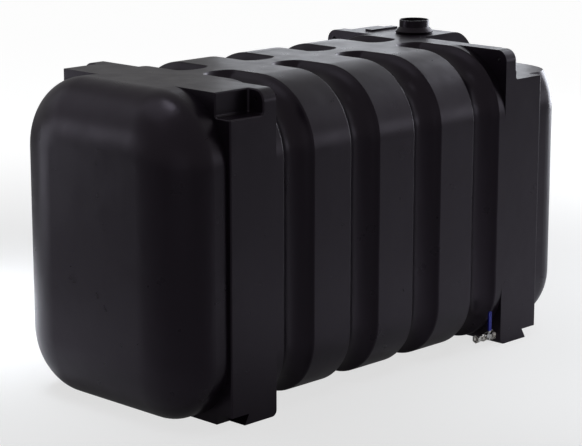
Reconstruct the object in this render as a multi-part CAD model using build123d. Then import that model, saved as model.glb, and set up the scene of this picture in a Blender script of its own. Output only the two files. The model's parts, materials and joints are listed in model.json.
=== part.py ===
from build123d import *
import math
import os

# Rainwater tank: a ribbed, hollow body lying between two square belts.
# X runs along the tank, Y across it and Z up from the floor that it stands on.
# The near end is at -X. All sizes are in millimetres.

# Whole tank
HEIGHT = 1600.0
WIDTH = 1288.0
BELT_SPAN = 2320.0
WALL = 9.0

# Cross-section of the ribbed body
BODY_FLOOR = 4.0
TOP_RADIUS = 360.0
BOTTOM_RADIUS = 315.0

# Grooves between the ribs
GROOVE_COUNT = 4
BAND_LENGTH = 46.7
GROOVE_DEPTH = 72.0
GROOVE_FLOOR_RADIUS = 108.0
GROOVE_EDGE_RADIUS = 14.0
GROOVE_EDGE_START = 14.0
GROOVE_OVERCUT = 6.0
GROOVE_END_LENGTH = 62.0
SPINE_WIDTH = 95.0

# Domed ends: a little narrower than the belts, with an edge rounded as a quarter of an ellipse
CAP_SETBACK = 22.0
CAP_TOP_RADIUS = 362.0
CAP_BOTTOM_RADIUS = 325.0
CAP_STRAIGHT = 80.0
CAP_CURVE_LENGTH = 212.0
CAP_CURVE_DROP = 310.0

# Belts, with a lifting plate on the inner side and a ledge on the outer side
BELT_LENGTH = 300.0
PLATE_THICKNESS = 85.0
PLATE_CORNER_RADIUS = 60.0
NOTCH_WIDTH = 100.0
LEDGE_DROP = 117.0
BELT_EDGE_RADIUS = 8.0
BELT_CORNER_RADIUS = 12.0
EYE_RADIUS = 11.0
EYE_FROM_TOP = 50.0
EYE_FROM_SIDE = 50.0
FOOT_CORNER_RADIUS = 30.0
FOOT_NOTCH_LENGTH = 84.0
FOOT_NOTCH_WIDTH = 104.0
FOOT_NOTCH_HEIGHT = 52.0
FOOT_NOTCH_TAPER = 16.0
FOOT_NOTCH_FLARE = 30.0

# Lowered deck on the far end, beside the top that carries the filler neck, and a low ridge on it
DECK_DROP = 160.0
DECK_EDGE_Y = 35.0
RIDGE_Y = 385.0
RIDGE_WIDTH = 50.0
RIDGE_HEIGHT = 10.0

# Filler neck
NECK_FROM_END = 85.0
NECK_Y = 186.0
NECK_HEIGHT = 75.0
NECK_OUTER_RADIUS = 83.0
NECK_WALL = 7.0
NECK_RIM_HEIGHT = 6.0
NECK_RIM_STEP = 2.0
SKIRT_RADIUS = 106.0
SKIRT_LOW = 12.0
SKIRT_HIGH = 36.0
SKIRT_FOOT_STEP = 6.0

# Outlet valve, set in the inner face of the far belt
OUTLET_FROM_SIDE = 50.0
OUTLET_Z = 50.0
BODY_TO_BELT = 88.0
PORT_REACH = 62.0
PORT_BORE_RADIUS = 14.5
FLOW_BORE_RADIUS = 12.5
PORT_DEPTH = 20.0
HEX_ACROSS_FLATS = 40.0
HEX_LENGTH = 15.0
CHAMBER_RADIUS = 23.0
BALL_RADIUS = 18.0
BALL_CLEARANCE = 0.3
BUSH_RADIUS = 19.0
BARREL_RADIUS = 17.0
NIPPLE_RADIUS = 16.5
INSERT_ACROSS_FLATS = 52.0
INSERT_THICKNESS = 10.0
INSERT_DEPTH = 22.0
STEM_RADIUS = 5.0
STEM_CLEARANCE = 0.1
TANG_WIDTH = 4.0
TANG_DEPTH = 3.0
BOSS_RADIUS = 10.0
BOSS_REACH = 30.0
GLAND_ACROSS_FLATS = 16.0
GLAND_HEIGHT = 6.0
LEVER_GAP = 0.3
LEVER_THICKNESS = 3.0
LEVER_WIDTH = 18.0
LEVER_LENGTH = 150.0
LEVER_CRANK_START = 22.0
LEVER_CRANK_END = 38.0
LEVER_CRANK_OFFSET = 8.0
SLEEVE_START = 46.0
SLEEVE_THICKNESS = 2.5
ROUND_END_FLAT = 0.5
LEVER_NUT_ACROSS_FLATS = 14.0
LEVER_NUT_HEIGHT = 6.0
STEM_TIP = 3.0

HALF_WIDTH = WIDTH / 2
BELT_OUTER_X = BELT_SPAN / 2
BELT_INNER_X = BELT_OUTER_X - BELT_LENGTH
NOTCH_Y = HALF_WIDTH - NOTCH_WIDTH
PLATE_X = BELT_INNER_X + PLATE_THICKNESS
LEDGE_Z = HEIGHT - LEDGE_DROP
DECK_Z = HEIGHT - DECK_DROP
NECK_X = BELT_OUTER_X - NECK_FROM_END
OUTLET_Y = OUTLET_FROM_SIDE - HALF_WIDTH
VALVE_X = BELT_INNER_X - BODY_TO_BELT


def export(name, solid):
    """Write one piece to its own file."""
    export_step(solid, os.path.join("parts", name + ".step"))


def block(x_low, x_high, y_low, y_high, z_low, z_high):
    """Box between two corners."""
    size = (x_high - x_low, y_high - y_low, z_high - z_low)
    centre = ((x_low + x_high) / 2, (y_low + y_high) / 2, (z_low + z_high) / 2)
    return Pos(*centre) * Box(*size)


def slab(x_low, x_high, half_width, radii, inset):
    """Length of a rounded section that stands just clear of the floor, inset from its outer skin."""
    low = BODY_FLOOR + inset
    high = HEIGHT - inset
    face = Plane.YZ * Pos(0, (low + high) / 2) * Rectangle(2 * (half_width - inset), high - low)
    face = fillet(face.vertices().group_by(Axis.Z)[-1], radii[0] - inset)
    face = fillet(face.vertices().group_by(Axis.Z)[0], radii[1] - inset)
    return Pos(x_low, 0, 0) * extrude(face, x_high - x_low)


def body_slab(x_low, x_high, inset):
    """Length of the ribbed body's section."""
    return slab(x_low, x_high, HALF_WIDTH, (TOP_RADIUS, BOTTOM_RADIUS), inset)


def cap_slab(x_low, x_high, inset):
    """Length of the domed ends' section."""
    return slab(x_low, x_high, HALF_WIDTH - CAP_SETBACK, (CAP_TOP_RADIUS, CAP_BOTTOM_RADIUS), inset)


def groove_edge():
    """Centre of the round edge of a groove's mouth, as distances along the tank and into the skin."""
    drop = GROOVE_EDGE_RADIUS * math.cos(math.radians(GROOVE_EDGE_START))
    rise = GROOVE_FLOOR_RADIUS - GROOVE_DEPTH + drop
    along = math.sqrt((GROOVE_FLOOR_RADIUS + GROOVE_EDGE_RADIUS) ** 2 - rise**2)
    return along, drop


def groove_profile(inset):
    """Section of a groove: one round floor that turns into the rounded edges of its mouth.

    The mouth lies along the local X axis and the floor is below it. An inset
    gives the matching inner skin, at an even wall thickness.
    """
    edge_x, edge_drop = groove_edge()
    floor_radius = GROOVE_FLOOR_RADIUS + inset
    edge_radius = GROOVE_EDGE_RADIUS - inset
    centre_y = GROOVE_FLOOR_RADIUS - GROOVE_DEPTH
    slope = math.atan2(edge_x, centre_y + edge_drop)
    meet = (floor_radius * math.sin(slope), centre_y - floor_radius * math.cos(slope))
    bend = (edge_x - edge_radius * math.sin(slope / 2), edge_radius * math.cos(slope / 2) - edge_drop)
    crest = (edge_x, edge_radius - edge_drop)
    top = (edge_x, GROOVE_OVERCUT)
    side = [ThreePointArc(meet, bend, crest), Line(crest, top)]
    side += [mirror(edge, about=Plane.YZ) for edge in side]
    floor = ThreePointArc((-meet[0], meet[1]), (0, -GROOVE_DEPTH - inset), meet)
    return make_face(side + [floor, Line((-edge_x, GROOVE_OVERCUT), top)])


def groove_length():
    """Length of the body that one groove takes, with a little flat skin beyond each round edge."""
    edge_x, _ = groove_edge()
    return 2 * edge_x - GROOVE_EDGE_RADIUS * math.sin(math.radians(GROOVE_EDGE_START))


def groove_end(inset):
    """Blunt end of a groove: its section turned half round, and shortened along the groove."""
    edge_x, _ = groove_edge()
    tall = 2 * (GROOVE_DEPTH + GROOVE_OVERCUT + inset)
    right_half = Pos(edge_x, 0) * Rectangle(2 * edge_x, tall)
    face = Plane.XZ * (groove_profile(inset) & right_half)
    turned = revolve(face, Axis.Z, -180)
    squeeze = (GROOVE_END_LENGTH + inset) / (edge_x + inset)
    return scale(turned, by=(1, squeeze, 1))


def corner_run(profile, inset, radius, skin_z, sense):
    """Groove round one corner and along the top or the bottom, up to the strip in the middle."""
    start_y = HALF_WIDTH - radius
    end_y = SPINE_WIDTH / 2 + GROOVE_END_LENGTH
    axis = Axis((0, start_y, skin_z - sense * radius), (sense, 0, 0))
    bend = revolve(profile, axis, 90)
    run = extrude(profile.rotate(axis, 90), start_y - end_y, dir=(0, -1, 0))
    end = groove_end(inset)
    if sense < 0:
        end = mirror(end, about=Plane.XY)
    return bend + run + Pos(0, end_y, skin_z) * end


def groove_cutter(inset):
    """One groove round both sides of the body, centred on X = 0."""
    low_z = BODY_FLOOR + BOTTOM_RADIUS
    high_z = HEIGHT - TOP_RADIUS
    flat = groove_profile(inset)
    low = Plane(origin=(0, HALF_WIDTH, low_z), x_dir=(1, 0, 0), z_dir=(0, 0, 1)) * flat
    high = Plane(origin=(0, HALF_WIDTH, high_z), x_dir=(1, 0, 0), z_dir=(0, 0, 1)) * flat
    side = extrude(low, high_z - low_z, dir=(0, 0, 1))
    top = corner_run(high, inset, TOP_RADIUS, HEIGHT, 1)
    bottom = corner_run(low, inset, BOTTOM_RADIUS, BODY_FLOOR, -1)
    cutter = side + top + bottom
    return cutter + mirror(cutter, about=Plane.XZ)


def ring(x_low, x_high):
    """Plain length of the hollow body."""
    return body_slab(x_low, x_high, 0) - body_slab(x_low, x_high, WALL)


def make_groove():
    """Hollow length of the body with one groove, centred on X = 0."""
    half = groove_length() / 2
    outer = body_slab(-half, half, 0) - groove_cutter(0)
    inner = body_slab(-half, half, WALL) - groove_cutter(WALL)
    return outer - inner


def dome(inset):
    """Far end of the body, inset from its outer skin: a straight run, then the rounded edge."""
    drop = CAP_CURVE_DROP - inset
    depth = CAP_CURVE_LENGTH - inset
    end = cap_slab(-WALL, drop, inset)
    end = fillet(end.faces().sort_by(Axis.X)[-1].edges(), drop)
    end = scale(end - cap_slab(-2 * WALL, 0, -WALL), by=(depth / drop, 1, 1))
    start = BELT_OUTER_X + CAP_STRAIGHT
    return cap_slab(BELT_OUTER_X, start, inset) + Pos(start, 0, 0) * end


def deck_cut(inset):
    """Space over the lowered deck of the far end, grown by the inset into the tank."""
    reach = BELT_OUTER_X + 2 * (CAP_STRAIGHT + CAP_CURVE_LENGTH)
    return block(PLATE_X - inset, reach, -WIDTH, DECK_EDGE_Y + inset, DECK_Z - inset, 2 * HEIGHT)


def crossing(solid, planes):
    """Edges of a solid that lie in two of the planes, each given as an axis and a place on it."""
    found = []
    for edge in solid.edges():
        centre = edge.center()
        place = (centre.X, abs(centre.Y), centre.Z)
        lying = [axis for axis, value in planes if abs(place[axis] - value) < 0.1]
        if len(lying) == 2 and lying[0] != lying[1] and edge.geom_type == GeomType.LINE:
            found.append(edge)
    return found


def neck_bore():
    """Round hole through the top under the filler neck."""
    radius = NECK_OUTER_RADIUS - NECK_WALL
    return Pos(NECK_X, NECK_Y, HEIGHT) * Cylinder(radius, 4 * WALL)


def foot_notch(side, inset):
    """Tapered notch under the outer corner of a foot, at the far end of the belt."""
    x_high = BELT_OUTER_X + WALL
    x_low = BELT_OUTER_X - FOOT_NOTCH_LENGTH - inset
    y_high = HALF_WIDTH + WALL
    y_low = HALF_WIDTH - FOOT_NOTCH_WIDTH - inset
    top = FOOT_NOTCH_HEIGHT + inset
    low = Pos((x_low + x_high) / 2, side * (y_low + y_high) / 2)
    low *= Rectangle(x_high - x_low, y_high - y_low)
    x_top = x_low - FOOT_NOTCH_FLARE
    y_top = y_low + FOOT_NOTCH_TAPER
    high = Pos((x_top + x_high) / 2, side * (y_top + y_high) / 2, top)
    high *= Rectangle(x_high - x_top, y_high - y_top)
    return loft([low, high])


def belt_form(inset):
    """Outline of a belt at the far end, with its plate, ledges and feet."""
    x_low = BELT_INNER_X + inset
    x_high = BELT_OUTER_X - inset
    half = HALF_WIDTH - inset
    inner_half = NOTCH_Y - inset
    ledge = LEDGE_Z - inset
    base = block(x_low, x_high, -half, half, inset, ledge)
    low_edge = base.edges().filter_by(Axis.Y).group_by(Axis.Z)[0].sort_by(Axis.X)[0]
    base = fillet(low_edge, FOOT_CORNER_RADIUS - inset)
    crown = block(x_low, x_high, -inner_half, inner_half, ledge - WALL, HEIGHT - inset)
    plate = block(x_low, PLATE_X - inset, -half, half, ledge - WALL, HEIGHT - inset)
    corners = plate.edges().filter_by(Axis.X).group_by(Axis.Z)[-1]
    plate = fillet(corners, PLATE_CORNER_RADIUS - inset)
    form = base + crown + plate
    if not inset:
        form = soften_belt(form)
    for side in (-1, 1):
        form -= foot_notch(side, inset)
    return form


def soften_belt(form):
    """Round the outer edges of a belt and the corners inside its notches."""
    inside = [(0, PLATE_X), (1, NOTCH_Y), (2, LEDGE_Z)]
    form = fillet(crossing(form, inside), BELT_CORNER_RADIUS)
    outside = [(0, BELT_OUTER_X), (1, HALF_WIDTH), (2, LEDGE_Z)]
    return fillet(crossing(form, outside), BELT_EDGE_RADIUS)


def lifting_eyes(radius):
    """Rods along X through both lifting corners of the plate."""
    centre_x = (BELT_INNER_X + PLATE_X) / 2
    rods = []
    for side in (-1, 1):
        centre_y = side * (HALF_WIDTH - EYE_FROM_SIDE)
        place = Pos(centre_x, centre_y, HEIGHT - EYE_FROM_TOP) * Rot(0, 90, 0)
        rods.append(place * Cylinder(radius, PLATE_THICKNESS))
    return rods


def belt_opening():
    """Space through both faces of a belt, into the body and into the domed end."""
    opening = body_slab(BELT_INNER_X, BELT_INNER_X + WALL, WALL)
    to_cap = cap_slab(BELT_OUTER_X - WALL, BELT_OUTER_X, WALL)
    for side in (-1, 1):
        notch = block(BELT_INNER_X, WIDTH, NOTCH_Y - WALL, WIDTH, LEDGE_Z - WALL, 2 * HEIGHT)
        to_cap -= notch if side > 0 else mirror(notch, about=Plane.XZ)
    return opening + to_cap


def make_belt(deck):
    """Hollow belt at the far end, open to the body on both sides."""
    solid = belt_form(0)
    hollow = belt_form(WALL) + belt_opening()
    if deck:
        solid -= deck_cut(0)
        hollow -= deck_cut(WALL)
        solid = fillet(crossing(solid, [(0, PLATE_X), (1, DECK_EDGE_Y), (2, DECK_Z)]), BELT_CORNER_RADIUS)
    solid -= hollow
    for rod in lifting_eyes(EYE_RADIUS + WALL):
        solid += rod
    for rod in lifting_eyes(EYE_RADIUS):
        solid -= rod
    return solid


def hexagon_bar(across_flats, length):
    """Hexagonal bar that rises from the origin."""
    return extrude(RegularPolygon(across_flats / 2, 6, major_radius=False), length)


def along_x(x):
    """Place on the outlet's axis, where a piece's own Z runs along +X."""
    return Pos(x, OUTLET_Y, OUTLET_Z) * Rot(0, 90, 0)


def along_stem(y):
    """Place on the valve stem's axis, where a piece's own Z runs outward."""
    return Pos(VALVE_X, y, OUTLET_Z) * Rot(90, 0, 0)


def make_neck():
    """Filler neck with its flared skirt, open from end to end."""
    bore = NECK_OUTER_RADIUS - NECK_WALL
    rim = NECK_OUTER_RADIUS - NECK_RIM_STEP
    outline = Polyline(
        (bore, 0),
        (SKIRT_RADIUS - SKIRT_FOOT_STEP, 0),
        (SKIRT_RADIUS, SKIRT_LOW),
        (NECK_OUTER_RADIUS, SKIRT_HIGH),
        (NECK_OUTER_RADIUS, NECK_HEIGHT - NECK_RIM_HEIGHT),
        (rim, NECK_HEIGHT - NECK_RIM_HEIGHT),
        (rim, NECK_HEIGHT),
        (bore, NECK_HEIGHT),
        (bore, 0),
    )
    face = Plane.XZ * make_face(outline)
    return Pos(NECK_X, NECK_Y, HEIGHT) * revolve(face, Axis.Z)


def make_insert():
    """Threaded insert in the belt's inner face: a hexagon outside and a plain bush inside."""
    hexagon = along_x(BELT_INNER_X - INSERT_THICKNESS) * hexagon_bar(INSERT_ACROSS_FLATS, INSERT_THICKNESS)
    bush = along_x(BELT_INNER_X) * Cylinder(
        BUSH_RADIUS, INSERT_DEPTH, align=(Align.CENTER, Align.CENTER, Align.MIN)
    )
    bore = along_x(BELT_INNER_X) * Cylinder(FLOW_BORE_RADIUS, 4 * INSERT_DEPTH)
    return hexagon + bush - bore


def make_valve_body():
    """Ball valve body: hexagon ends, round chamber and stem boss."""
    tail = BODY_TO_BELT - INSERT_THICKNESS
    port_end = VALVE_X - PORT_REACH
    tail_end = VALVE_X + tail
    rising = (Align.CENTER, Align.CENTER, Align.MIN)
    barrel = along_x(port_end) * Cylinder(BARREL_RADIUS, PORT_REACH + tail / 2, align=rising)
    nipple = along_x(VALVE_X) * Cylinder(NIPPLE_RADIUS, tail, align=rising)
    port_hexagon = along_x(port_end) * hexagon_bar(HEX_ACROSS_FLATS, HEX_LENGTH)
    tail_hexagon = along_x(VALVE_X + tail / 2) * hexagon_bar(HEX_ACROSS_FLATS, HEX_LENGTH)
    chamber = Pos(VALVE_X, OUTLET_Y, OUTLET_Z) * Sphere(CHAMBER_RADIUS)
    boss = along_stem(OUTLET_Y) * Cylinder(BOSS_RADIUS, BOSS_REACH, align=rising)
    body = barrel + nipple + port_hexagon + tail_hexagon + chamber + boss
    body -= along_x(port_end) * Cylinder(FLOW_BORE_RADIUS, PORT_REACH + tail, align=rising)
    body -= along_x(port_end) * Cylinder(PORT_BORE_RADIUS, PORT_DEPTH, align=rising)
    body -= Pos(VALVE_X, OUTLET_Y, OUTLET_Z) * Sphere(BALL_RADIUS + BALL_CLEARANCE)
    body -= along_stem(OUTLET_Y) * Cylinder(STEM_RADIUS + STEM_CLEARANCE, BOSS_REACH, align=rising)
    return body


def make_ball():
    """Ball with its flow bore turned across the pipe, as the valve stands closed."""
    ball = Pos(VALVE_X, OUTLET_Y, OUTLET_Z) * Sphere(BALL_RADIUS)
    ball -= Pos(VALVE_X, OUTLET_Y, OUTLET_Z) * Cylinder(FLOW_BORE_RADIUS, 4 * BALL_RADIUS)
    return ball - tang(STEM_RADIUS + TANG_DEPTH)


def tang(reach):
    """Flat tongue at the stem's foot, which turns the ball. It starts inside the ball's skin."""
    foot_y = OUTLET_Y - BALL_RADIUS + TANG_DEPTH
    rising = (Align.CENTER, Align.CENTER, Align.MIN)
    round_bar = along_stem(foot_y) * Cylinder(STEM_RADIUS, reach, align=rising)
    flat_bar = along_stem(foot_y) * Box(TANG_WIDTH, 2 * STEM_RADIUS, reach, align=rising)
    return round_bar & flat_bar


def lever_base_y():
    """Inner face of the lever's hub."""
    return OUTLET_Y - BOSS_REACH - GLAND_HEIGHT - LEVER_GAP


def make_gland():
    """Gland nut on the end of the stem boss."""
    nut = along_stem(OUTLET_Y - BOSS_REACH) * hexagon_bar(GLAND_ACROSS_FLATS, GLAND_HEIGHT)
    return nut - along_stem(OUTLET_Y - BOSS_REACH) * Cylinder(STEM_RADIUS + STEM_CLEARANCE, 4 * GLAND_HEIGHT)


def make_stem():
    """Stem from the ball out through the boss, gland and lever."""
    start = OUTLET_Y - BALL_RADIUS
    end = lever_base_y() - LEVER_THICKNESS - LEVER_NUT_HEIGHT - STEM_TIP
    rising = (Align.CENTER, Align.CENTER, Align.MIN)
    return along_stem(start) * Cylinder(STEM_RADIUS, start - end, align=rising) + tang(TANG_DEPTH)


def make_lever():
    """Cranked flat lever, standing up over the stem."""
    near = lever_base_y()
    far = near - LEVER_CRANK_OFFSET
    path = Polyline(
        (near, -LEVER_WIDTH / 2),
        (near, LEVER_CRANK_START),
        (far, LEVER_CRANK_END),
        (far, LEVER_LENGTH),
        (far - LEVER_THICKNESS, LEVER_LENGTH),
        (far - LEVER_THICKNESS, LEVER_CRANK_END),
        (near - LEVER_THICKNESS, LEVER_CRANK_START),
        (near - LEVER_THICKNESS, -LEVER_WIDTH / 2),
        (near, -LEVER_WIDTH / 2),
    )
    side = Plane.YZ * make_face(path)
    bar = Pos(VALVE_X, 0, OUTLET_Z) * extrude(side, LEVER_WIDTH / 2, both=True)
    ends = bar.edges().filter_by(Axis.Y).group_by(Axis.Z)
    bar = fillet(ends[0] + ends[-1], LEVER_WIDTH / 2 - ROUND_END_FLAT)
    return bar - along_stem(OUTLET_Y) * Cylinder(STEM_RADIUS, 4 * BOSS_REACH)


def make_sleeve():
    """Soft grip over the upper part of the lever."""
    far = lever_base_y() - LEVER_CRANK_OFFSET
    low = OUTLET_Z + SLEEVE_START
    high = OUTLET_Z + LEVER_LENGTH + SLEEVE_THICKNESS
    half = LEVER_WIDTH / 2 + SLEEVE_THICKNESS
    y_low = far - LEVER_THICKNESS - SLEEVE_THICKNESS
    y_high = far + SLEEVE_THICKNESS
    grip = block(VALVE_X - half, VALVE_X + half, y_low, y_high, low, high)
    grip = fillet(grip.edges().filter_by(Axis.Y).group_by(Axis.Z)[-1], half - ROUND_END_FLAT)
    return grip - make_lever()


def make_lever_nut():
    """Nut that holds the lever on the stem."""
    face_y = lever_base_y() - LEVER_THICKNESS
    nut = along_stem(face_y) * hexagon_bar(LEVER_NUT_ACROSS_FLATS, LEVER_NUT_HEIGHT)
    return nut - along_stem(face_y) * Cylinder(STEM_RADIUS, 4 * LEVER_NUT_HEIGHT)


def build_body():
    """Ribs, grooves and the plain bands beside the belts."""
    groove = make_groove()
    length = groove_length()
    first = -BELT_INNER_X + BAND_LENGTH
    pitch = (-2 * first - length) / (GROOVE_COUNT - 1)
    for number in range(GROOVE_COUNT):
        start = first + number * pitch
        export(f"groove_{number + 1}", Pos(start + length / 2, 0, 0) * groove)
        if number:
            export(f"rib_{number}", ring(start - pitch + length, start))
    export("near_band", ring(-BELT_INNER_X, first))
    export("far_band", ring(-first, BELT_INNER_X))


def build_ends():
    """Belts and domed ends. The near ones are made at the far end and mirrored."""
    shell = dome(0) - dome(WALL)
    export("near_end_cap", mirror(shell, about=Plane.YZ))
    far_skin = dome(0) - deck_cut(0)
    far_skin = fillet(crossing(far_skin, [(1, DECK_EDGE_Y), (2, DECK_Z)]), BELT_CORNER_RADIUS)
    export("far_end_cap", far_skin - (dome(WALL) - deck_cut(WALL)) - neck_bore())
    export("near_belt", mirror(make_belt(False), about=Plane.YZ))
    ridge_low = HEIGHT - WALL / 2
    ridge = block(PLATE_X, BELT_OUTER_X, RIDGE_Y, RIDGE_Y + RIDGE_WIDTH, ridge_low, HEIGHT + RIDGE_HEIGHT)
    far_belt = make_belt(True) + ridge - neck_bore()
    far_belt -= along_x(BELT_INNER_X) * Cylinder(BUSH_RADIUS, 4 * INSERT_DEPTH)
    export("far_belt", far_belt)


def build_fittings():
    """Filler neck and outlet valve."""
    export("filler_neck", make_neck())
    export("outlet_insert", make_insert())
    export("valve_body", make_valve_body())
    export("valve_ball", make_ball())
    export("gland_nut", make_gland())
    export("valve_stem", make_stem())
    export("valve_lever", make_lever())
    export("lever_sleeve", make_sleeve())
    export("lever_nut", make_lever_nut())


os.makedirs("parts", exist_ok=True)
build_body()
build_ends()
build_fittings()
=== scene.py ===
import bmesh
import bpy
import json
import math
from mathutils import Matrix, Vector


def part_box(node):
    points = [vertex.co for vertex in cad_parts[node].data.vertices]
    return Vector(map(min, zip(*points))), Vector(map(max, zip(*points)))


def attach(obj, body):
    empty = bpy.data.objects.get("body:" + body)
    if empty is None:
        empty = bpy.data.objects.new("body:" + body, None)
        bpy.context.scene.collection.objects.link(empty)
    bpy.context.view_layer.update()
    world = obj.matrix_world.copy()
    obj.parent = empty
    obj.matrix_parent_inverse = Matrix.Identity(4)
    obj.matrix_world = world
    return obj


# Rainwater tank. All lengths are in metres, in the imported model's own frame.

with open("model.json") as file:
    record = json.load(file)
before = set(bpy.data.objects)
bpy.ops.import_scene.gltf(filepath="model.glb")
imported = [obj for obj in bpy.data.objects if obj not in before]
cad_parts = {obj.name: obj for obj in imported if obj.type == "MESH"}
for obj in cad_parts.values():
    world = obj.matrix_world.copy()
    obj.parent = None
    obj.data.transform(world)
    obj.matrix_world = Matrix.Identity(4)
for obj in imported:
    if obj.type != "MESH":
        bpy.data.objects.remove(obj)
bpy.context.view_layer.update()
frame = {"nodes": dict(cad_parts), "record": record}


# Camera, from the fit to the photograph: metres, radians and millimetres of lens
CAMERA_PLACE = (-7.67, -7.38, 3.12)
CAMERA_TURN = math.radians(44.274)
CAMERA_DIP = math.radians(12.744)
CAMERA_LENS = 128.38
CAMERA_SENSOR = 36.0
CAMERA_REACH = 200.0


def make_camera():
    """Camera at the photograph's viewing angle."""
    data = bpy.data.cameras.new("camera")
    data.lens = CAMERA_LENS
    data.sensor_width = CAMERA_SENSOR
    data.clip_end = CAMERA_REACH
    camera = bpy.data.objects.new("camera", data)
    camera.location = CAMERA_PLACE
    camera.rotation_euler = (math.pi / 2 - CAMERA_DIP, 0.0, CAMERA_TURN - math.pi / 2)
    bpy.context.scene.collection.objects.link(camera)
    bpy.context.scene.camera = camera


# A noise texture's values lie mostly in this range
NOISE_LOW = 0.3
NOISE_HIGH = 0.7


class Nodes:
    """Short way to write a material's node tree."""

    def __init__(self, name):
        self.material = bpy.data.materials.new(name)
        self.material.use_nodes = True
        self.tree = self.material.node_tree
        self.shader = self.tree.nodes["Principled BSDF"]

    def add(self, kind, **values):
        node = self.tree.nodes.new(kind)
        for key, value in values.items():
            if hasattr(node, key):
                setattr(node, key, value)
            else:
                node.inputs[key.replace("_", " ")].default_value = value
        return node

    def link(self, out, into):
        self.tree.links.new(out, into)

    def between(self, value, low, high):
        """Spread a noise value over the range from low to high."""
        spread = self.add(
            "ShaderNodeMapRange", From_Min=NOISE_LOW, From_Max=NOISE_HIGH, To_Min=low, To_Max=high
        )
        self.link(value, spread.inputs["Value"])
        return spread.outputs["Result"]

    def colour_clouds(self, clouds, *stops):
        """Colour the surface by a noise, between two stops of noise value and colour."""
        ramp = self.add("ShaderNodeValToRGB")
        for element, (position, colour) in zip(ramp.color_ramp.elements, stops):
            element.position = position
            element.color = (*colour, 1.0)
        self.link(clouds.outputs["Fac"], ramp.inputs["Fac"])
        self.link(ramp.outputs["Color"], self.shader.inputs["Base Color"])


# Black plastic of the tank: waves and pebbles are in steps per metre and metres of depth
PLASTIC_COLOUR = (0.0145, 0.0095, 0.0155, 1.0)
PLASTIC_IOR = 1.5
PLASTIC_SPECULAR = 0.4
PLASTIC_TINT = (0.97, 0.84, 1.0, 1.0)
PLASTIC_ROUGHNESS = (0.27, 0.34)
PLASTIC_BUMP = 0.12
WAVES_SCALE = 5.0
WAVES_DEPTH = 0.02
PEBBLE_SCALE = 420.0
PEBBLE_DEPTH = 0.0004
PATCHES_SCALE = 9.0


def tank_plastic():
    """Black moulded plastic with a satin skin, slightly wavy and finely pebbled."""
    nodes = Nodes("tank_plastic")
    shader = nodes.shader
    shader.inputs["Base Color"].default_value = PLASTIC_COLOUR
    shader.inputs["IOR"].default_value = PLASTIC_IOR
    shader.inputs["Specular IOR Level"].default_value = PLASTIC_SPECULAR
    shader.inputs["Specular Tint"].default_value = PLASTIC_TINT
    place = nodes.add("ShaderNodeTexCoord")
    waves = nodes.add("ShaderNodeTexNoise", Scale=WAVES_SCALE, Detail=2.0, Roughness=0.5)
    pebble = nodes.add("ShaderNodeTexNoise", Scale=PEBBLE_SCALE, Detail=2.0, Roughness=0.6)
    patches = nodes.add("ShaderNodeTexNoise", Scale=PATCHES_SCALE, Detail=4.0, Roughness=0.55)
    for node in (waves, pebble, patches):
        nodes.link(place.outputs["Object"], node.inputs["Vector"])
    nodes.link(nodes.between(patches.outputs["Fac"], *PLASTIC_ROUGHNESS), shader.inputs["Roughness"])
    wavy = nodes.add("ShaderNodeBump", Strength=PLASTIC_BUMP, Distance=WAVES_DEPTH)
    fine = nodes.add("ShaderNodeBump", Strength=PLASTIC_BUMP, Distance=PEBBLE_DEPTH)
    nodes.link(waves.outputs["Fac"], wavy.inputs["Height"])
    nodes.link(pebble.outputs["Fac"], fine.inputs["Height"])
    nodes.link(wavy.outputs["Normal"], fine.inputs["Normal"])
    nodes.link(fine.outputs["Normal"], shader.inputs["Normal"])
    return nodes.material


def metal(name, light, dark, gloss, grain_scale, grain_depth):
    """Bright metal: cloudy colour, uneven gloss and a fine cast or brushed grain."""
    nodes = Nodes(name)
    shader = nodes.shader
    shader.inputs["Metallic"].default_value = 1.0
    place = nodes.add("ShaderNodeTexCoord")
    clouds = nodes.add("ShaderNodeTexNoise", Scale=60.0, Detail=4.0, Roughness=0.6)
    grain = nodes.add("ShaderNodeTexNoise", Scale=1.0, Detail=3.0, Roughness=0.6)
    stretch = nodes.add("ShaderNodeMapping", Scale=grain_scale)
    nodes.link(place.outputs["Object"], clouds.inputs["Vector"])
    nodes.link(place.outputs["Object"], stretch.inputs["Vector"])
    nodes.link(stretch.outputs["Vector"], grain.inputs["Vector"])
    nodes.colour_clouds(clouds, (0.35, dark), (0.6, light))
    nodes.link(nodes.between(grain.outputs["Fac"], *gloss), shader.inputs["Roughness"])
    relief = nodes.add("ShaderNodeBump", Strength=0.3, Distance=grain_depth)
    nodes.link(grain.outputs["Fac"], relief.inputs["Height"])
    nodes.link(relief.outputs["Normal"], shader.inputs["Normal"])
    return nodes.material


# Blue plastic of the lever's grip
GRIP_DARK = (0.004, 0.01, 0.32)
GRIP_LIGHT = (0.008, 0.018, 0.46)
GRIP_ROUGHNESS = (0.28, 0.4)


def grip_plastic():
    """Blue dipped grip of the lever: soft gloss with a light pebble."""
    nodes = Nodes("lever_grip")
    shader = nodes.shader
    place = nodes.add("ShaderNodeTexCoord")
    pebble = nodes.add("ShaderNodeTexNoise", Scale=900.0, Detail=2.0, Roughness=0.6)
    clouds = nodes.add("ShaderNodeTexNoise", Scale=45.0, Detail=3.0, Roughness=0.5)
    for node in (pebble, clouds):
        nodes.link(place.outputs["Object"], node.inputs["Vector"])
    nodes.colour_clouds(clouds, (NOISE_LOW, GRIP_DARK), (NOISE_HIGH, GRIP_LIGHT))
    nodes.link(nodes.between(clouds.outputs["Fac"], *GRIP_ROUGHNESS), shader.inputs["Roughness"])
    relief = nodes.add("ShaderNodeBump", Strength=0.2, Distance=0.0002)
    nodes.link(pebble.outputs["Fac"], relief.inputs["Height"])
    nodes.link(relief.outputs["Normal"], shader.inputs["Normal"])
    return nodes.material


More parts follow.
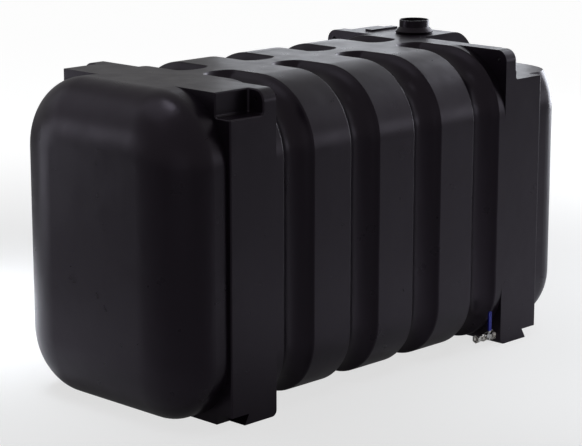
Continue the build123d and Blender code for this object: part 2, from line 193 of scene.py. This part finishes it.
def dress_nodes():
    """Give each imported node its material, and return the materials by slot."""
    looks = {
        "tank_plastic": tank_plastic(),
        "valve_metal": metal(
            "valve_metal",
            light=(0.86, 0.84, 0.8),
            dark=(0.68, 0.65, 0.6),
            gloss=(0.1, 0.24),
            grain_scale=(300.0, 300.0, 300.0),
            grain_depth=0.0003,
        ),
        "lever_steel": metal(
            "lever_steel",
            light=(0.68, 0.68, 0.68),
            dark=(0.54, 0.54, 0.55),
            gloss=(0.24, 0.42),
            grain_scale=(900.0, 900.0, 40.0),
            grain_depth=0.0002,
        ),
        "lever_grip": grip_plastic(),
    }
    for part in frame["record"]["subparts"]:
        item = frame["nodes"][part["node"]]
        item.data.materials.clear()
        item.data.materials.append(looks[part["material_slot"]])
    return looks


# A thread ridge: its half width in pitches, its steps per turn and its run-out in turns
RIDGE_HALF_WIDTH = 0.42
RIDGE_STEPS = 40
RIDGE_RUN_OUT = 0.3


def helix_ridge(name, axis_start, axis_way, root, crest, pitch, turns):
    """One helical ridge, triangular in section, as a closed mesh round an axis."""
    steps = RIDGE_STEPS
    way = Vector(axis_way)
    side = way.orthogonal().normalized()
    across = way.cross(side)
    start = Vector(axis_start)
    half_width = RIDGE_HALF_WIDTH * pitch
    shape = bmesh.new()
    rings = []
    count = round(turns * steps)
    run_out = RIDGE_RUN_OUT * steps
    for step in range(count + 1):
        angle = 2 * math.pi * step / steps
        # the ridge rises out of the wall and sinks back into it at its ends
        rise = min(1.0, step / run_out, (count - step) / run_out)
        spoke = math.cos(angle) * side + math.sin(angle) * across
        middle = start + way * (pitch * step / steps)
        peak = root + (crest - root) * rise
        rings.append(
            [
                shape.verts.new(middle - half_width * way + root * spoke),
                shape.verts.new(middle + peak * spoke),
                shape.verts.new(middle + half_width * way + root * spoke),
            ]
        )
    for before, after in zip(rings, rings[1:]):
        for corner in range(3):
            other = (corner + 1) % 3
            shape.faces.new((before[corner], before[other], after[other], after[corner]))
    shape.faces.new(rings[0])
    shape.faces.new(reversed(rings[-1]))
    bmesh.ops.recalc_face_normals(shape, faces=shape.faces)
    mesh = bpy.data.meshes.new(name)
    shape.to_mesh(mesh)
    shape.free()
    piece = bpy.data.objects.new(name, mesh)
    bpy.context.scene.collection.objects.link(piece)
    return piece


# Pipe thread inside the valve's port, and the thread on the stem's tip; a start is how far
# the first turn lies inside the end, and SUNK is how deep a ridge sits in the metal
PORT_BORE = 0.0145
PORT_THREAD_PITCH = 0.0023
PORT_THREAD_TURNS = 7.5
PORT_THREAD_HEIGHT = 0.0011
PORT_THREAD_START = 1.2 * PORT_THREAD_PITCH
STEM_THREAD_PITCH = 0.001
STEM_THREAD_TURNS = 2.6
STEM_THREAD_HEIGHT = 0.0003
STEM_THREAD_START = 0.0003
SUNK = 0.0001


def make_threads(looks):
    """Threads of the port's mouth and of the stem's tip, each on the body that it belongs to."""
    valve_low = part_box("valve_body")[0]
    insert_low, insert_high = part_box("outlet_insert")
    axis_y = (insert_low[1] + insert_high[1]) / 2
    axis_z = (insert_low[2] + insert_high[2]) / 2
    port = helix_ridge(
        "port_thread",
        (valve_low[0] + PORT_THREAD_START, axis_y, axis_z),
        (1.0, 0.0, 0.0),
        PORT_BORE + SUNK,
        PORT_BORE - PORT_THREAD_HEIGHT,
        PORT_THREAD_PITCH,
        PORT_THREAD_TURNS,
    )
    stem_low, stem_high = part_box("valve_stem")
    stem_radius = (stem_high[2] - stem_low[2]) / 2
    tip = helix_ridge(
        "stem_thread",
        ((stem_low[0] + stem_high[0]) / 2, stem_low[1] + STEM_THREAD_START, axis_z),
        (0.0, 1.0, 0.0),
        stem_radius - SUNK,
        stem_radius + STEM_THREAD_HEIGHT,
        STEM_THREAD_PITCH,
        STEM_THREAD_TURNS,
    )
    for piece, body in ((port, "tank"), (tip, "lever")):
        piece.data.materials.append(looks["valve_metal"])
        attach(piece, body)


# Pale floor and world, by the kind of ray that meets them. The camera's own ray sees a
# darker floor colour with a glow added, and mirrored rays see less than the camera does.
FLOOR_COLOUR = (0.75, 0.75, 0.75, 1.0)
FLOOR_COLOUR_SEEN = (0.28, 0.28, 0.28, 1.0)
FLOOR_GLOW_NEAR = 0.7
FLOOR_GLOW_FAR = 0.97
FLOOR_NEAR = 2.4
FLOOR_FAR = 7.0
FLOOR_HALF = 40.0
FLOOR_GLOW_MIRRORED = 0.09
WORLD_SEEN = 1.0
WORLD_MIRRORED = 0.28
WORLD_LIGHT = 0.03


def by_ray(tree, seen, mirrored, other):
    """Strength for camera rays, for glossy and transmission rays, and for all others."""
    path = tree.nodes.new("ShaderNodeLightPath")
    either = tree.nodes.new("ShaderNodeMath")
    either.operation = "MAXIMUM"
    tree.links.new(path.outputs["Is Glossy Ray"], either.inputs[0])
    tree.links.new(path.outputs["Is Transmission Ray"], either.inputs[1])
    strength = other
    for flag, level in ((either.outputs[0], mirrored), (path.outputs["Is Camera Ray"], seen)):
        mix = tree.nodes.new("ShaderNodeMix")
        tree.links.new(flag, mix.inputs["Factor"])
        for value, socket in ((strength, mix.inputs["A"]), (level, mix.inputs["B"])):
            if isinstance(value, float):
                socket.default_value = value
            else:
                tree.links.new(value, socket)
        strength = mix.outputs["Result"]
    return strength


def make_floor():
    """Pale floor that keeps the soft shadow under the tank."""
    nodes = Nodes("floor")
    tree = nodes.tree
    tree.nodes.remove(nodes.shader)
    pale = nodes.add("ShaderNodeBsdfDiffuse")
    path = nodes.add("ShaderNodeLightPath")
    colour = nodes.add("ShaderNodeMixRGB", Color1=FLOOR_COLOUR, Color2=FLOOR_COLOUR_SEEN)
    nodes.link(path.outputs["Is Camera Ray"], colour.inputs["Fac"])
    nodes.link(colour.outputs["Color"], pale.inputs["Color"])
    glow = nodes.add("ShaderNodeEmission", Color=(1.0, 1.0, 1.0, 1.0))
    both = nodes.add("ShaderNodeAddShader")
    # the floor turns to white away from the tank
    place = nodes.add("ShaderNodeTexCoord")
    distance = nodes.add("ShaderNodeVectorMath", operation="LENGTH")
    fade = nodes.add(
        "ShaderNodeMapRange",
        interpolation_type="SMOOTHSTEP",
        From_Min=FLOOR_NEAR,
        From_Max=FLOOR_FAR,
        To_Min=FLOOR_GLOW_NEAR,
        To_Max=FLOOR_GLOW_FAR,
    )
    nodes.link(place.outputs["Object"], distance.inputs[0])
    nodes.link(distance.outputs["Value"], fade.inputs["Value"])
    nodes.link(by_ray(tree, fade.outputs["Result"], FLOOR_GLOW_MIRRORED, 0.0), glow.inputs["Strength"])
    nodes.link(pale.outputs[0], both.inputs[0])
    nodes.link(glow.outputs[0], both.inputs[1])
    nodes.link(both.outputs[0], tree.nodes["Material Output"].inputs["Surface"])
    mesh = bpy.data.meshes.new("floor")
    half = FLOOR_HALF
    corners = [(-half, -half, 0.0), (half, -half, 0.0), (half, half, 0.0), (-half, half, 0.0)]
    mesh.from_pydata(corners, [], [(0, 1, 2, 3)])
    floor = bpy.data.objects.new("floor", mesh)
    bpy.context.scene.collection.objects.link(floor)
    mesh.materials.append(nodes.material)


# Soft lamps round the tank: name, azimuth, elevation, distance, width, height and radiance.
# Their places and strengths were fitted to the tones that the photograph shows.
SOFTBOXES = (
    ("back_right_low", 2.0, 7.0, 8.0, 4.2, 3.1, 5.4),
    ("back_right_high", 0.0, 28.0, 8.0, 4.2, 3.1, 2.5),
    ("back_near", 37.0, 15.0, 4.2, 2.2, 0.6, 2.0),
    ("back_high", 30.0, 28.0, 8.0, 4.2, 3.1, 0.55),
    ("left_back_low", 130.0, 0.0, 5.0, 1.3, 1.5, 1.2),
    ("left_strip", 138.0, 10.0, 8.0, 2.5, 1.4, 1.2),
    ("left_back_high", 120.0, 28.0, 8.0, 4.2, 3.1, 0.4),
    ("left_high", 150.0, 52.0, 8.0, 5.0, 3.1, 0.5),
    ("front_low", 210.0, 6.0, 8.0, 4.2, 3.1, 0.12),
    ("right_high", 330.0, 28.0, 8.0, 4.2, 3.1, 0.38),
    ("right_low", 318.0, 9.0, 8.0, 4.4, 1.4, 1.2),
)
# Lamps that hang over the floor beside the tank: name, azimuth, distance and radiance
FLOOR_LAMPS = (
    ("floor_left", 115.0, 2.2, 3.3),
    ("floor_front", 168.0, 2.1, 0.4),
    ("floor_right", 290.0, 2.0, 0.5),
    ("floor_back_right", 343.0, 2.6, 0.5),
)
FLOOR_LAMP_HEIGHT = 3.2
FLOOR_LAMP_SIZE = 1.6
FLOOR_LAMP_SPREAD = math.radians(50)
LAMP_COLOUR = (0.89, 0.93, 1.0)
LAMPS_AIM = Vector((0.0, 0.0, 0.8))


def add_lamp(name, place, turning, width, height, radiance):
    """One rectangular soft lamp that the camera doesn't see."""
    data = bpy.data.lights.new(name, "AREA")
    data.shape = "RECTANGLE"
    data.size = width
    data.size_y = height
    data.energy = radiance * math.pi * width * height
    data.color = LAMP_COLOUR
    lamp = bpy.data.objects.new(name, data)
    lamp.location = place
    lamp.rotation_euler = turning
    lamp.visible_camera = False
    bpy.context.scene.collection.objects.link(lamp)
    return lamp


def make_lights():
    """Soft lamps, most of them behind and beside the tank, and a dim, even world."""
    world = bpy.data.worlds.new("studio")
    world.use_nodes = True
    tree = world.node_tree
    back = tree.nodes["Background"]
    back.inputs["Color"].default_value = (1.0, 1.0, 1.0, 1.0)
    tree.links.new(by_ray(tree, WORLD_SEEN, WORLD_MIRRORED, WORLD_LIGHT), back.inputs["Strength"])
    bpy.context.scene.world = world
    for name, azimuth, elevation, distance, width, height, radiance in SOFTBOXES:
        turn, rise = math.radians(azimuth), math.radians(elevation)
        level = math.cos(rise)
        way = Vector((level * math.cos(turn), level * math.sin(turn), math.sin(rise)))
        turning = (math.pi / 2 - rise, 0.0, turn + math.pi / 2)
        add_lamp(name, LAMPS_AIM + distance * way, turning, width, height, radiance)
    for name, azimuth, distance, radiance in FLOOR_LAMPS:
        turn = math.radians(azimuth)
        place = (distance * math.cos(turn), distance * math.sin(turn), FLOOR_LAMP_HEIGHT)
        lamp = add_lamp(name, place, (0.0, 0.0, 0.0), FLOOR_LAMP_SIZE, FLOOR_LAMP_SIZE, radiance)
        lamp.data.spread = FLOOR_LAMP_SPREAD


make_camera()
make_threads(dress_nodes())
make_floor()
make_lights()
bpy.context.scene.view_settings.view_transform = "Standard"
